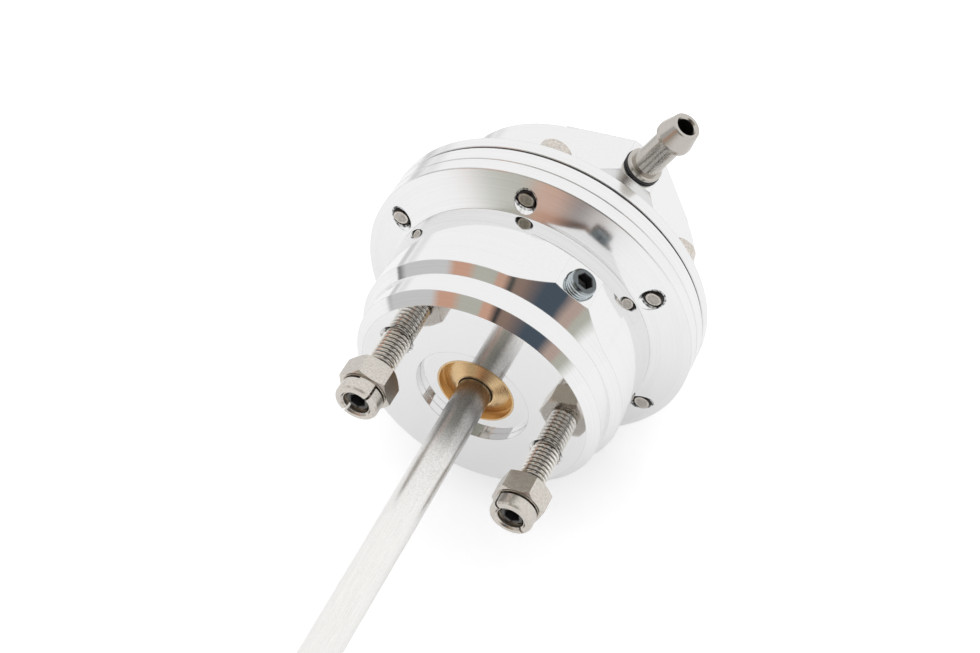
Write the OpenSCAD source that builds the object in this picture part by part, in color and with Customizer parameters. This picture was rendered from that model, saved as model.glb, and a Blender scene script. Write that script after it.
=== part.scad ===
// Spring-return diaphragm actuator with a sliding rod, in millimetres.
// Z runs along the rod, out of the mount face. The mount face is Z = 0.
// The hose barb and the blanking plug point to -Y. The studs sit on +X and -X.

/* [Housing] */
// Outer radius of the flanges and rings
flange_r = 37; // [34:0.1:42]
// Radial width of the base flange outside the round body
flange_w = 7.95; // [7.5:0.05:9]
// Radial width of the shoulder chamfer between nose and body
shoulder_w = 1.95; // [1:0.05:2.5]
// Radial width of the mount face chamfer
nose_chamfer_w = 2.25; // [0.5:0.05:3]
// Length of the nose, from the mount face to the shoulder chamfer
nose_len = 6.8; // [6:0.1:9]
// Axial length of the shoulder chamfer, which also cuts the near end of the lobe
shoulder_len = 1.95; // [1:0.05:2.5]
// Axial length of the nose chamfer
nose_chamfer = 2.15; // [0.5:0.05:3]
// Z of the foot of the lower body, where it meets the flange
body_foot_z = -24.46; // [-26:0.01:-22]
// Z of the near rim of the base flange
flange_near_z = -27.4; // [-28.5:0.1:-26.5]
// Z of the parting line between base flange and middle ring
ring_near_z = -30.5; // [-31.5:0.1:-29.5]
// Thickness of the middle ring
ring_len = 3.5; // [2.5:0.1:5]
// Thickness of the cap flange
cap_flange_len = 2.9; // [2:0.1:4]
// Edge break on the rims
rim_break = 0.15; // [0.05:0.05:0.6]

/* [Lower lobe] */
// How far the lower lobe flat stands out from the round body
lobe_out = 1.95; // [1:0.05:3]
// Half width of the lower lobe flat
lobe_half_w = 4.1; // [3.5:0.1:5]
// Z where the undercut meets the round body
lobe_cut_z = -20.9; // [-22:0.1:-19]
// Rise of the lower undercut per millimetre of radius
lobe_cut_slope = 0.93; // [0.5:0.01:1.2]
// Turn of the lower lobe about the axis in degrees
lobe_angle = -1.5; // [-3:0.5:3]

/* [Cap tower] */
// Distance from the rim in to the wall of the cap tower
tower_in = 8.6; // [8.4:0.1:10]
// Depth of the tower neck behind the flange
neck_depth = 2; // [1:0.1:2.4]
// How far the tower lobe flat stands out from the tower
tower_lobe_out = 3.6; // [2.5:0.1:4.5]
// Half width of the tower lobe flat
tower_lobe_half_w = 4; // [3.5:0.1:5]
// Z where the undercut meets the edge of the tower lobe
wing_z = -44; // [-45.5:0.1:-43]
// Rise of the cap undercut per millimetre of radius
cut_slope = 0.8; // [0.5:0.05:1.2]
// Z of the closed end of the cap
cap_end_z = -54; // [-56:0.1:-53]
// Chamfer on the closed end of the cap
cap_end_chamfer = 0.5; // [0.2:0.1:1.5]

/* [Inside of the housing] */
// Z of the inner face of the end wall
chamber_top_z = -9.5; // [-10.5:0.1:-9]
// Radius of the spring chamber as a share of the body radius
chamber_share = 0.81; // [0.78:0.01:0.83]
// Radius of the bore that the diaphragm rolls in as a share of the body radius
roll_bore_share = 0.916; // [0.9:0.001:0.925]
// Z where the rolling bore ends
roll_bore_z = -19.5; // [-20.5:0.1:-18.5]
// Wall thickness of the cap tower
tower_wall = 4.4; // [3.5:0.1:5]
// Z of the floor of the pressure chamber
cap_floor_z = -52; // [-52.3:0.1:-51.9]
// Inner radius of the stop ring in the cap
stop_in_r = 13; // [11:0.1:14]
// Outer radius of the stop ring in the cap
stop_out_r = 16; // [15:0.1:17]

/* [Mount side] */
// Radius of the counterbore round the bush
counterbore_r = 12.4; // [11:0.1:13]
// Depth of the counterbore
counterbore_depth = 1.7; // [1:0.1:2.5]
// Distance of a mount stud from the axis
stud_offset = 19.05; // [17.5:0.05:20]
// Radius of a mount stud in the open
stud_r = 3; // [2.5:0.05:4]
// How far in a stud and its nut or tapped hole are drawn, towards the pitch radius of the thread
stud_pitch_in = 0.2; // [0.18:0.01:0.4]
// Thread relief between a screwed piece and its hole
thread_relief = 0.03; // [0.02:0.01:0.06]
// Z of the outer end of a stud
stud_end_z = 17.2; // [14:0.1:20]
// Depth of the tapped stud holes
stud_hole_depth = 8.2; // [7:0.1:8.5]
// Across-flats of the socket in a stud end
stud_socket_af = 3; // [2:0.1:3.5]
// Depth of the socket in a stud end
stud_socket_depth = 2.2; // [1.5:0.1:3]

/* [Lock nuts] */
// Across-flats of a lock nut
nut_af = 10; // [9:0.1:12]
// Z of the seat face of a lock nut
nut_seat_z = 9.65; // [4:0.05:12]
// Length of the hexagon
nut_hex_len = 5; // [4:0.1:6]
// Radius of the turned collar
nut_collar_r = 4.6; // [4.2:0.1:5]
// Length of the collar
nut_collar_len = 3.55; // [2.5:0.05:4]
// Width of the slots in the collar
nut_slot_w = 0.5; // [0.3:0.05:0.8]
// Turn of the nut on the +X stud in degrees
nut_right_turn = -102; // [-180:1:180]
// Turn of the nut on the -X stud in degrees
nut_left_turn = -15; // [-180:1:180]

/* [Flange bolts] */
// Distance from the rim in to the bolt circle
bolt_edge = 4.6; // [4:0.05:4.8]
// Shank radius of a flange bolt
bolt_r = 2; // [1.8:0.05:2.1]
// Head radius of a flange bolt
bolt_head_r = 3.5; // [3.2:0.1:3.6]
// Head height of a flange bolt
bolt_head_len = 4; // [3:0.1:4.4]
// Z of the threaded end of a flange bolt
bolt_end_z = -25.7; // [-27:0.1:-25.5]
// Mouth radius of the bolt holes on the base flange
bolt_mouth_r = 2.3; // [2.1:0.05:2.5]
// Across-flats of the socket in a bolt head
bolt_socket_af = 3; // [2:0.1:3.5]

/* [Rod and bush] */
// Radius of the rod
rod_r = 3.6; // [3.3:0.05:3.9]
// Z of the free end of the rod
rod_end_z = 88; // [80:1:110]
// Length of the thread on the free end
rod_thread_len = 16; // [10:1:20]
// Thread radius on both ends of the rod
rod_thread_r = 3; // [2.8:0.05:3.2]
// Radial running clearance of the rod in the bush
rod_clearance = 0.05; // [0.02:0.01:0.1]
// Head radius of the bush
bush_head_r = 8.5; // [8:0.1:9]
// Z of the inner end of the bush head
bush_head_z = -6; // [-6.5:0.1:-5]
// Body radius of the bush
bush_body_r = 6.5; // [6.2:0.1:6.8]
// Z of the inner end of the bush
bush_end_z = -15.5; // [-17:0.1:-14]
// Depth of the ring groove in the bush face
bush_groove_depth = 1.9; // [1:0.1:2.5]
// Radius of the seal pocket in the bush
seal_pocket_r = 5.6; // [5.2:0.1:6]
// Length of the seal pocket in the bush
seal_len = 2.2; // [1.6:0.1:2.6]
// Thickness of the clip that holds the bush
clip_t = 0.9; // [0.6:0.1:1.2]
// Depth of the clip groove in the bush
clip_depth = 0.5; // [0.3:0.05:0.7]
// Outer radius of the guide boss inside the housing
guide_boss_r = 8.2; // [7.8:0.1:8.6]

/* [Piston and diaphragm] */
// Outer radius of the piston skirt as a share of the body radius
piston_share = 0.73; // [0.71:0.001:0.74]
// Wall thickness of the piston skirt
piston_wall = 1.5; // [1:0.1:1.8]
// Z of the open end of the piston skirt
skirt_end_z = -33; // [-36:0.1:-32]
// Z of the piston underside, where the springs press
piston_under_z = -43.3; // [-43.6:0.1:-43]
// Thickness of the piston crown
piston_crown = 3; // [2.5:0.1:3]
// Thickness of the diaphragm
diaphragm_t = 0.4; // [0.3:0.05:0.8]
// How far the edge of the diaphragm stays inside the rims
rim_recess = 0.25; // [0.05:0.05:0.6]
// Z of the centre of the rolling bead
roll_z = -30; // [-31:0.1:-29]
// Distance from the piston skirt in to the edge of the clamp plate
plate_in = 1.2; // [0.8:0.1:2]
// Thickness of the clamp plate
plate_t = 1.4; // [1:0.1:1.4]
// Thickness of the piston nut
piston_nut_len = 2.6; // [2.2:0.1:2.8]

// Gap between the piston skirt and the rolled sheet
sheet_gap = 0.3; // [0.25:0.05:0.4]
// Wall between the rolling bore and the seal groove in the middle ring
seal_groove_in = 1.4; // [1.2:0.1:1.6]
// Width of the seal groove in the middle ring
seal_groove_w = 1.6; // [1.2:0.1:1.8]
// Depth of the seal groove in the middle ring
seal_groove_depth = 1.2; // [0.8:0.1:1.6]
// Space between the end of the rod and the piston nut face
rod_tail_len = 0.4; // [0.2:0.1:0.5]

/* [Springs] */
// Thickness of the spring seat
seat_t = 1; // [0.6:0.1:1.5]
// Coil radius of the outer spring as a share of the body radius
outer_coil_share = 0.571; // [0.55:0.001:0.58]
// Wire radius of the outer spring
outer_wire_r = 1.25; // [1:0.05:1.3]
// Coil radius of the inner spring as a share of the body radius
inner_coil_share = 0.379; // [0.37:0.001:0.39]
// Wire radius of the inner spring
inner_wire_r = 0.95; // [0.8:0.05:1.1]

/* [Hose barb] */
// Z of the barb axis
barb_z = -48.8; // [-49:0.1:-48.4]
// Radius of the threaded shank
barb_shank_r = 3; // [2.8:0.05:3.1]
// Radius of the bore
barb_bore_r = 1.9; // [1.4:0.1:2]
// Radius of the collar
barb_collar_r = 3.9; // [3.6:0.1:4.4]
// Thickness of the collar
barb_collar_t = 1; // [0.8:0.1:1.4]
// Radius of the tube
barb_tube_r = 3.05; // [2.7:0.05:3.4]
// Length of the tube from the lobe flat to the back of the bulge
barb_neck_len = 11.3; // [9:0.1:14]
// Radius of the bulge
barb_bulge_r = 3.95; // [3.7:0.05:4.3]
// Length from the back of the bulge to the tip
barb_nose_len = 5.4; // [4:0.1:8]
// Section radius of the barb O-ring
barb_ring_r = 0.4; // [0.3:0.05:0.6]
// Radius of the middle of the barb O-ring
barb_ring_mid_r = 3.7; // [3.5:0.05:3.9]

/* [Blanking plug] */
// Offset of the plug to the left of the middle of the lobe
plug_shift = 0.3; // [0:0.1:0.5]
// Z of the plug axis
plug_z = -14.2; // [-15:0.1:-13.8]
// Thread radius of the plug
plug_r = 3; // [2.6:0.05:3.1]
// How far the plug stands out of the lower lobe flat
plug_out = 2.1; // [1:0.1:3]
// Length of the plug
plug_len = 7; // [6:0.1:7.5]
// Across-flats of the socket in the plug
plug_socket_af = 3; // [2:0.1:3.4]

/* [Hidden] */
round_fn = 96;
small_fn = 48;
eps = 0.01;
bolt_angles = [0, 60, 120, 180, 240, 300];
body_r = flange_r - flange_w;
nose_r = body_r - shoulder_w;
mount_face_r = nose_r - nose_chamfer_w;
lobe_d = body_r + lobe_out;
tower_r = flange_r - tower_in;
tower_neck_r = tower_r - neck_depth;
tower_lobe_d = tower_r + tower_lobe_out;
cap_cavity_r = tower_r - tower_wall;
chamber_r = body_r * chamber_share;
roll_bore_r = body_r * roll_bore_share;
piston_r = body_r * piston_share;
plate_r = piston_r - plate_in;
outer_coil_r = body_r * outer_coil_share;
inner_coil_r = body_r * inner_coil_share;
seal_groove_r = roll_bore_r + seal_groove_in;
bolt_circle_r = flange_r - bolt_edge;
plug_out_d = lobe_d + plug_out;
barb_bulge_d = tower_lobe_d + barb_neck_len;
barb_tip_d = barb_bulge_d + barb_nose_len;
held_stud_r = stud_r - stud_pitch_in;
tap_stud_r = held_stud_r + thread_relief;
ring_far_z = ring_near_z - ring_len;
cap_near_z = ring_far_z - diaphragm_t;
cap_flange_z = cap_near_z - cap_flange_len;
crown_z = piston_under_z - piston_crown;
plate_z = crown_z - diaphragm_t;
nut_z = plate_z - plate_t;
rod_inner_z = nut_z - piston_nut_len - rod_tail_len;
seat_z = chamber_top_z - seat_t;
bolt_head_z = cap_flange_z - bolt_head_len;
tap_r = bolt_r + thread_relief;
clear_r = bolt_r + 0.2;
sheet_in_r = piston_r + sheet_gap;
sheet_mid_r = (sheet_in_r + roll_bore_r - 0.1) / 2;
roll_out_r = (roll_bore_r - 0.1 - sheet_in_r) / 2;
wing_r = tower_lobe_d - 0.5;
lobe_top_z = wing_z - 0.06;
cap_far_r = tower_lobe_d + 2;
arc_steps = 12;
far_r = lobe_d + 1.5;
shoulder_slope = shoulder_len / (body_r - nose_r);
flange_slope = (flange_near_z - body_foot_z) / (flange_r - rim_break - body_r);
bolt_mouth_z = body_foot_z + (bolt_circle_r - body_r) * flange_slope;
seal_near_z = bush_head_z + 1;
seal_far_z = seal_near_z - seal_len;
clip_end_r = bush_body_r - clip_depth;
stud_hole_chamfer = 0.8;
drill_r = plug_r * 0.6;

function hex_r(af) = af / 2 / cos(30);
function lobe_turn(r, d, w) = atan(w / d) + acos(r / sqrt(d * d + w * w));

// Flat outline of a lobe: two flanks that run into the round part, and the outer flat
module lobe_outline(r, d, w) {
  turn = lobe_turn(r, d, w);
  inner = r - 0.12;
  polygon([
    [0, 0], [inner * sin(turn), -inner * cos(turn)], [w, -d],
    [-w, -d], [-inner * sin(turn), -inner * cos(turn)]
  ]);
}

// Hexagonal prism with its corners eased by a turned cone at both ends
module eased_hex(af, z0, z1) {
  corner = hex_r(af);
  flat = af / 2;
  ease = (corner - flat) * 0.577;
  intersection() {
    translate([0, 0, z0]) cylinder(h = z1 - z0, r = corner, $fn = 6);
    rotate_extrude($fn = small_fn) polygon([
      [0, z0], [flat, z0], [corner + 0.02, z0 + ease], [corner + 0.02, z1 - ease], [flat, z1], [0, z1]
    ]);
  }
}

// Wire swept along a coil whose end turns lie flat
module coil_spring(coil_r, wire_r, z_top, z_bottom, turns) {
  sides = 8;
  steps = 22;
  total = round(turns * steps);
  travel = z_top - z_bottom - 2 * wire_r;
  dead = 1;
  rows = [for (i = [0:total])
    let (t = i / steps)
    let (lead = 2.15 * wire_r / travel)
    let (mid = (1 - 2 * lead) / (turns - 2 * dead))
    let (s = t < dead ? lead * t : t > turns - dead ? 1 - lead * (turns - t) : lead + mid * (t - dead))
    [for (k = [0:sides - 1])
      let (a = 360 * t)
      let (b = 360 * k / sides)
      let (r = coil_r + wire_r * cos(b))
      [r * cos(a), r * sin(a), z_bottom + wire_r + travel * s + wire_r * sin(b)]]];
  points = [for (row = rows) for (p = row) p];
  walls = [for (i = [0:total - 1]) for (k = [0:sides - 1])
    let (n = (k + 1) % sides)
    [i * sides + k, i * sides + n, (i + 1) * sides + n, (i + 1) * sides + k]];
  first = [for (k = [0:sides - 1]) sides - 1 - k];
  last = [for (k = [0:sides - 1]) total * sides + k];
  polyhedron(points = points, faces = concat(walls, [first, last]), convexity = 10);
}

module lower_body() {
  color([0.86, 0.86, 0.87])
  difference() {
    union() {
      rotate_extrude($fn = round_fn) polygon([
        [0, lobe_cut_z + 2], [nose_r, lobe_cut_z + 2], [nose_r, lobe_cut_z], [body_r, lobe_cut_z],
        [body_r, body_foot_z], [flange_r - rim_break, flange_near_z],
        [flange_r, flange_near_z - rim_break], [flange_r, ring_near_z + rim_break],
        [flange_r - rim_break, ring_near_z], [0, ring_near_z]
      ]);
      rotate([0, 0, lobe_angle]) intersection() {
        union() {
          translate([0, 0, lobe_cut_z]) cylinder(h = 1 - lobe_cut_z, r = body_r, $fn = round_fn);
          translate([0, 0, lobe_cut_z]) linear_extrude(-nose_len - lobe_cut_z)
            lobe_outline(body_r, lobe_d, lobe_half_w);
        }
        rotate_extrude($fn = round_fn) polygon([
          [0, 0], [mount_face_r, 0], [nose_r, -nose_chamfer], [nose_r, -nose_len],
          [far_r, -nose_len - (far_r - nose_r) * shoulder_slope],
          [far_r, lobe_cut_z + (far_r - body_r) * lobe_cut_slope], [body_r, lobe_cut_z], [0, lobe_cut_z]
        ]);
      }
    }
    difference() {
      rotate_extrude($fn = round_fn) polygon([
        [0, chamber_top_z], [chamber_r, chamber_top_z], [chamber_r, roll_bore_z],
        [roll_bore_r, roll_bore_z - 1.5], [roll_bore_r, ring_near_z - 1], [0, ring_near_z - 1]
      ]);
      translate([0, 0, bush_end_z + clip_t])
        cylinder(h = chamber_top_z - bush_end_z, r = guide_boss_r, $fn = round_fn);
    }
    translate([0, 0, -counterbore_depth]) cylinder(h = 5, r = counterbore_r, $fn = round_fn);
    translate([0, 0, bush_head_z]) cylinder(h = 10, r = bush_head_r, $fn = round_fn);
    translate([0, 0, bush_end_z - 1]) cylinder(h = -bush_end_z, r = bush_body_r, $fn = round_fn);
    for (side = [-1, 1]) translate([side * stud_offset, 0, 0]) {
      translate([0, 0, -stud_hole_depth]) cylinder(h = stud_hole_depth + 1, r = tap_stud_r, $fn = small_fn);
      translate([0, 0, -stud_hole_chamfer])
        cylinder(h = stud_hole_chamfer + eps, r1 = stud_r - 0.1, r2 = stud_r + 0.7, $fn = small_fn);
    }
    for (a = bolt_angles) rotate([0, 0, a]) translate([bolt_circle_r, 0, 0]) {
      translate([0, 0, ring_near_z - 1]) cylinder(h = 10, r = tap_r, $fn = small_fn);
      translate([0, 0, bolt_mouth_z - 0.6])
        cylinder(h = 1.8, r1 = bolt_mouth_r - 0.35, r2 = bolt_mouth_r + 0.7, $fn = small_fn);
    }
    rotate([0, 0, lobe_angle]) translate([-plug_shift, 0, plug_z]) rotate([90, 0, 0]) {
      translate([0, 0, plug_out_d - plug_len - 1]) cylinder(h = 20, r = plug_r, $fn = small_fn);
      translate([0, 0, chamber_r - 2]) cylinder(h = 10, r = drill_r, $fn = small_fn);
      translate([0, 0, lobe_d - 0.4])
        cylinder(h = 0.4 + eps, r1 = plug_r - 0.1, r2 = plug_r + 0.2, $fn = small_fn);
    }
  }
}

module middle_ring() {
  color([0.84, 0.84, 0.85])
  difference() {
    rotate_extrude($fn = round_fn) polygon([
      [roll_bore_r, ring_near_z], [seal_groove_r, ring_near_z],
      [seal_groove_r, ring_near_z - seal_groove_depth],
      [seal_groove_r + seal_groove_w, ring_near_z - seal_groove_depth],
      [seal_groove_r + seal_groove_w, ring_near_z],
      [flange_r - rim_break, ring_near_z], [flange_r, ring_near_z - rim_break],
      [flange_r, ring_far_z + rim_break], [flange_r - rim_break, ring_far_z], [roll_bore_r, ring_far_z]
    ]);
    for (a = bolt_angles) rotate([0, 0, a]) translate([bolt_circle_r, 0, ring_far_z - 1])
      cylinder(h = ring_len + 2, r = clear_r, $fn = small_fn);
  }
}

module body_seal() {
  color([0.08, 0.08, 0.08])
  rotate_extrude($fn = round_fn) translate([seal_groove_r + 0.05, ring_near_z - seal_groove_depth])
    square([seal_groove_w - 0.1, seal_groove_depth]);
}

module cap() {
  color([0.86, 0.86, 0.87])
  difference() {
    union() {
      rotate_extrude($fn = round_fn) polygon([
        [0, cap_near_z], [flange_r - rim_break, cap_near_z], [flange_r, cap_near_z - rim_break],
        [flange_r, cap_flange_z + rim_break], [flange_r - rim_break, cap_flange_z], [tower_neck_r, cap_flange_z],
        [tower_neck_r, wing_z + (wing_r - tower_neck_r) * cut_slope],
        [tower_r, wing_z + (wing_r - tower_r) * cut_slope],
        [tower_r, cap_end_z + cap_end_chamfer], [tower_r - cap_end_chamfer, cap_end_z], [0, cap_end_z]
      ]);
      intersection() {
        translate([0, 0, cap_end_z]) linear_extrude(cap_flange_z - cap_end_z)
          lobe_outline(tower_r, tower_lobe_d, tower_lobe_half_w);
        rotate_extrude($fn = round_fn) polygon([
          [0, lobe_top_z + wing_r * cut_slope], [cap_far_r, lobe_top_z - (cap_far_r - wing_r) * cut_slope],
          [cap_far_r, cap_end_z], [0, cap_end_z]
        ]);
      }
    }
    difference() {
      translate([0, 0, cap_floor_z]) cylinder(h = 30, r = cap_cavity_r, $fn = round_fn);
      translate([0, 0, cap_floor_z - 1]) difference() {
        cylinder(h = nut_z - cap_floor_z + 1 + plate_t, r = stop_out_r, $fn = round_fn);
        cylinder(h = 10, r = stop_in_r, $fn = round_fn);
        translate([0, 0, nut_z - cap_floor_z + 1]) cylinder(h = 10, r = stop_out_r + 1, $fn = round_fn);
        for (a = [0, 120, 240]) rotate([0, 0, a]) translate([-1.5, 0, 1])
          cube([3, stop_out_r + 1, (nut_z - cap_floor_z) / 2]);
      }
    }
    for (a = bolt_angles) rotate([0, 0, a]) translate([bolt_circle_r, 0, cap_flange_z - 1])
      cylinder(h = cap_flange_len + 2, r = clear_r, $fn = small_fn);
    translate([0, -cap_cavity_r + 2, barb_z]) rotate([90, 0, 0])
      cylinder(h = 20, r = barb_shank_r, $fn = small_fn);
  }
}

module rod() {
  color([0.62, 0.61, 0.59])
  rotate_extrude($fn = small_fn) polygon([
    [0, rod_end_z], [rod_thread_r - 0.6, rod_end_z], [rod_thread_r, rod_end_z - 0.6],
    [rod_thread_r, rod_end_z - rod_thread_len], [rod_r, rod_end_z - rod_thread_len - 0.6],
    [rod_r, piston_under_z], [rod_thread_r, piston_under_z], [rod_thread_r, rod_inner_z + rod_tail_len],
    [rod_thread_r - rod_tail_len, rod_inner_z], [0, rod_inner_z]
  ]);
}

module rod_bush() {
  color([0.78, 0.6, 0.3])
  rotate_extrude($fn = round_fn) polygon([
    [rod_r + 0.25, -counterbore_depth], [rod_r + 0.7, -counterbore_depth],
    [bush_head_r - 0.65, -counterbore_depth - bush_groove_depth],
    [bush_head_r - 0.4, -counterbore_depth - bush_groove_depth], [bush_head_r - 0.4, -counterbore_depth],
    [bush_head_r, -counterbore_depth], [bush_head_r, bush_head_z], [bush_body_r, bush_head_z],
    [bush_body_r, bush_end_z + clip_t], [clip_end_r, bush_end_z + clip_t], [clip_end_r, bush_end_z],
    [rod_r + rod_clearance, bush_end_z], [rod_r + rod_clearance, seal_far_z],
    [seal_pocket_r, seal_far_z], [seal_pocket_r, seal_near_z], [rod_r + rod_clearance, seal_near_z],
    [rod_r + rod_clearance, seal_near_z + 1.6], [rod_r + 0.25, seal_near_z + 1.8]
  ]);
}

module rod_seal() {
  color([0.06, 0.06, 0.06])
  rotate_extrude($fn = small_fn) polygon([
    [seal_pocket_r, seal_near_z], [seal_pocket_r, seal_far_z], [rod_r + 0.6, seal_far_z],
    [rod_r + 0.06, seal_far_z + 0.7], [rod_r + 0.06, seal_near_z - 0.7], [rod_r + 0.6, seal_near_z]
  ]);
}

module bush_clip() {
  color([0.3, 0.3, 0.31])
  difference() {
    translate([0, 0, bush_end_z]) cylinder(h = clip_t, r = guide_boss_r - 0.4, $fn = small_fn);
    translate([0, 0, bush_end_z - 1]) cylinder(h = 3, r = clip_end_r, $fn = small_fn);
    translate([0, -1.5, bush_end_z - 1]) cube([20, 3, 3]);
  }
}

module mount_studs() {
  color([0.66, 0.65, 0.62])
  for (side = [-1, 1]) translate([side * stud_offset, 0, 0]) difference() {
    rotate_extrude($fn = small_fn) polygon([
      [0, -stud_hole_depth], [stud_r - 0.6, -stud_hole_depth],
      [held_stud_r, -stud_hole_depth + 0.6], [held_stud_r, 0], [stud_r, 0],
      [stud_r, nut_seat_z - 0.15], [held_stud_r, nut_seat_z - 0.15],
      [held_stud_r, stud_end_z - 0.6], [stud_r - 0.6, stud_end_z], [0, stud_end_z]
    ]);
    translate([0, 0, stud_end_z - stud_socket_depth])
      cylinder(h = 5, r = hex_r(stud_socket_af), $fn = 6);
  }
}

module lock_nut(turn) {
  top = nut_seat_z + nut_hex_len;
  tip = top + nut_collar_len;
  slot_z = top + 0.15;
  rotate([0, 0, turn]) difference() {
    union() {
      rotate([0, 0, 51]) eased_hex(nut_af, nut_seat_z, top);
      rotate_extrude($fn = small_fn) polygon([
        [0, top - 1], [nut_collar_r, top - 1], [nut_collar_r, tip - 0.6],
        [nut_collar_r - 0.25, tip - 0.15], [nut_collar_r - 0.7, tip], [0, tip]
      ]);
    }
    translate([0, 0, nut_seat_z - 1]) cylinder(h = 20, r = tap_stud_r, $fn = small_fn);
    translate([0, 0, tip - 0.4]) cylinder(h = 0.4 + eps, r1 = stud_r - 0.05, r2 = stud_r + 0.3, $fn = small_fn);
    intersection() {
      rotate_extrude($fn = small_fn) translate([stud_r - 0.5, slot_z]) square([4, nut_slot_w]);
      for (a = [0, 180]) rotate([0, 0, a]) translate([0, 0, slot_z - 1]) linear_extrude(3)
        polygon([[0, 0], [9, 0], [9, -9], [-9, -9]]);
    }
    for (a = [0, 180]) rotate([0, 0, a]) translate([0, -nut_slot_w / 2, slot_z - 0.05])
      cube([8, nut_slot_w, nut_collar_len + 1]);
  }
}

module lock_nuts() {
  color([0.76, 0.74, 0.7]) {
    translate([stud_offset, 0, 0]) lock_nut(nut_right_turn);
    translate([-stud_offset, 0, 0]) lock_nut(nut_left_turn);
  }
}

module flange_bolts() {
  color([0.4, 0.39, 0.38])
  for (a = bolt_angles) rotate([0, 0, a]) translate([bolt_circle_r, 0, 0]) difference() {
    rotate_extrude($fn = small_fn) polygon([
      [0, bolt_end_z], [bolt_r - 0.4, bolt_end_z], [bolt_r, bolt_end_z - 0.4], [bolt_r, cap_flange_z],
      [bolt_head_r, cap_flange_z], [bolt_head_r, bolt_head_z + 0.3], [bolt_head_r - 0.3, bolt_head_z],
      [0, bolt_head_z]
    ]);
    translate([0, 0, bolt_head_z - 1]) cylinder(h = 3, r = hex_r(bolt_socket_af), $fn = 6);
  }
}

module diaphragm() {
  sheet_out_r = sheet_mid_r + roll_out_r;
  roll_in_r = roll_out_r - diaphragm_t;
  over = [for (i = [0:arc_steps]) let (a = 180 * i / arc_steps)
    [sheet_mid_r + roll_out_r * cos(a), roll_z + roll_out_r * sin(a)]];
  under = [for (i = [0:arc_steps]) let (a = 180 - 180 * i / arc_steps)
    [sheet_mid_r + roll_in_r * cos(a), roll_z + roll_in_r * sin(a)]];
  color([0.05, 0.05, 0.06])
  difference() {
    rotate_extrude($fn = round_fn) polygon(concat(
      [[flange_r - rim_recess, cap_near_z], [flange_r - rim_recess, ring_far_z], [sheet_out_r, ring_far_z]],
      over,
      [[sheet_in_r, crown_z], [rod_thread_r + 0.05, crown_z], [rod_thread_r + 0.05, plate_z],
       [sheet_in_r + diaphragm_t, plate_z]],
      under,
      [[sheet_out_r - diaphragm_t, cap_near_z]]
    ));
    for (a = bolt_angles) rotate([0, 0, a]) translate([bolt_circle_r, 0, cap_near_z - 1])
      cylinder(h = 3, r = clear_r, $fn = small_fn);
  }
}

module piston() {
  color([0.75, 0.76, 0.78])
  rotate_extrude($fn = round_fn) polygon([
    [rod_thread_r + 0.03, crown_z], [piston_r, crown_z], [piston_r, skirt_end_z],
    [piston_r - piston_wall, skirt_end_z], [piston_r - piston_wall, piston_under_z],
    [rod_thread_r + 0.03, piston_under_z]
  ]);
}

module clamp_plate() {
  color([0.7, 0.7, 0.7])
  rotate_extrude($fn = round_fn) polygon([
    [rod_thread_r + 0.03, nut_z], [plate_r - 0.4, nut_z], [plate_r, nut_z + 0.4],
    [plate_r, plate_z], [rod_thread_r + 0.03, plate_z]
  ]);
}

module piston_nut() {
  color([0.66, 0.65, 0.62])
  difference() {
    eased_hex(nut_af, nut_z - piston_nut_len, nut_z);
    translate([0, 0, nut_z - 5]) cylinder(h = 10, r = rod_thread_r + 0.03, $fn = small_fn);
  }
}

module outer_spring() {
  color([0.5, 0.5, 0.52])
  coil_spring(outer_coil_r, outer_wire_r, seat_z, piston_under_z, 6.5);
}

module inner_spring() {
  color([0.5, 0.5, 0.52])
  coil_spring(inner_coil_r, inner_wire_r, seat_z, piston_under_z, 7.5);
}

module spring_seat() {
  color([0.6, 0.6, 0.6])
  rotate_extrude($fn = round_fn) polygon([
    [guide_boss_r + 0.2, seat_z], [outer_coil_r + 2.2, seat_z], [outer_coil_r + 2.2, chamber_top_z],
    [guide_boss_r + 0.2, chamber_top_z]
  ]);
}

module hose_barb() {
  ring_d = tower_lobe_d + 2 * barb_ring_r;
  shank_in_d = cap_cavity_r + 1.5;
  color([0.6, 0.58, 0.55])
  translate([0, 0, barb_z]) rotate([90, 0, 0]) rotate_extrude($fn = small_fn) polygon([
    [barb_bore_r, shank_in_d], [barb_shank_r - thread_relief, shank_in_d],
    [barb_shank_r - thread_relief, ring_d], [barb_collar_r, ring_d],
    [barb_collar_r, ring_d + barb_collar_t - 0.3], [barb_collar_r - 0.3, ring_d + barb_collar_t],
    [barb_tube_r, ring_d + barb_collar_t], [barb_tube_r, barb_bulge_d], [barb_bulge_r, barb_bulge_d + 0.5],
    [barb_bulge_r, barb_bulge_d + 1.4], [barb_tube_r, barb_tip_d - 0.2], [barb_tube_r - 0.2, barb_tip_d],
    [barb_bore_r + 0.3, barb_tip_d], [barb_bore_r, barb_tip_d - 0.4]
  ]);
}

module barb_seal() {
  color([0.04, 0.04, 0.04])
  translate([0, -tower_lobe_d - barb_ring_r, barb_z]) rotate([90, 0, 0])
    rotate_extrude($fn = small_fn) translate([barb_ring_mid_r, 0]) circle(r = barb_ring_r, $fn = 24);
}

module blanking_plug() {
  color([0.7, 0.72, 0.75])
  rotate([0, 0, lobe_angle]) translate([-plug_shift, 0, plug_z]) rotate([90, 0, 0]) difference() {
    rotate_extrude($fn = small_fn) polygon([
      [0, plug_out_d - plug_len], [plug_r - 0.6, plug_out_d - plug_len],
      [plug_r - thread_relief, plug_out_d - plug_len + 0.6], [plug_r - thread_relief, plug_out_d - 0.5],
      [plug_r - 0.5, plug_out_d], [0, plug_out_d]
    ]);
    translate([0, 0, plug_out_d - 2.5]) cylinder(h = 5, r = hex_r(plug_socket_af), $fn = 6);
  }
}

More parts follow.
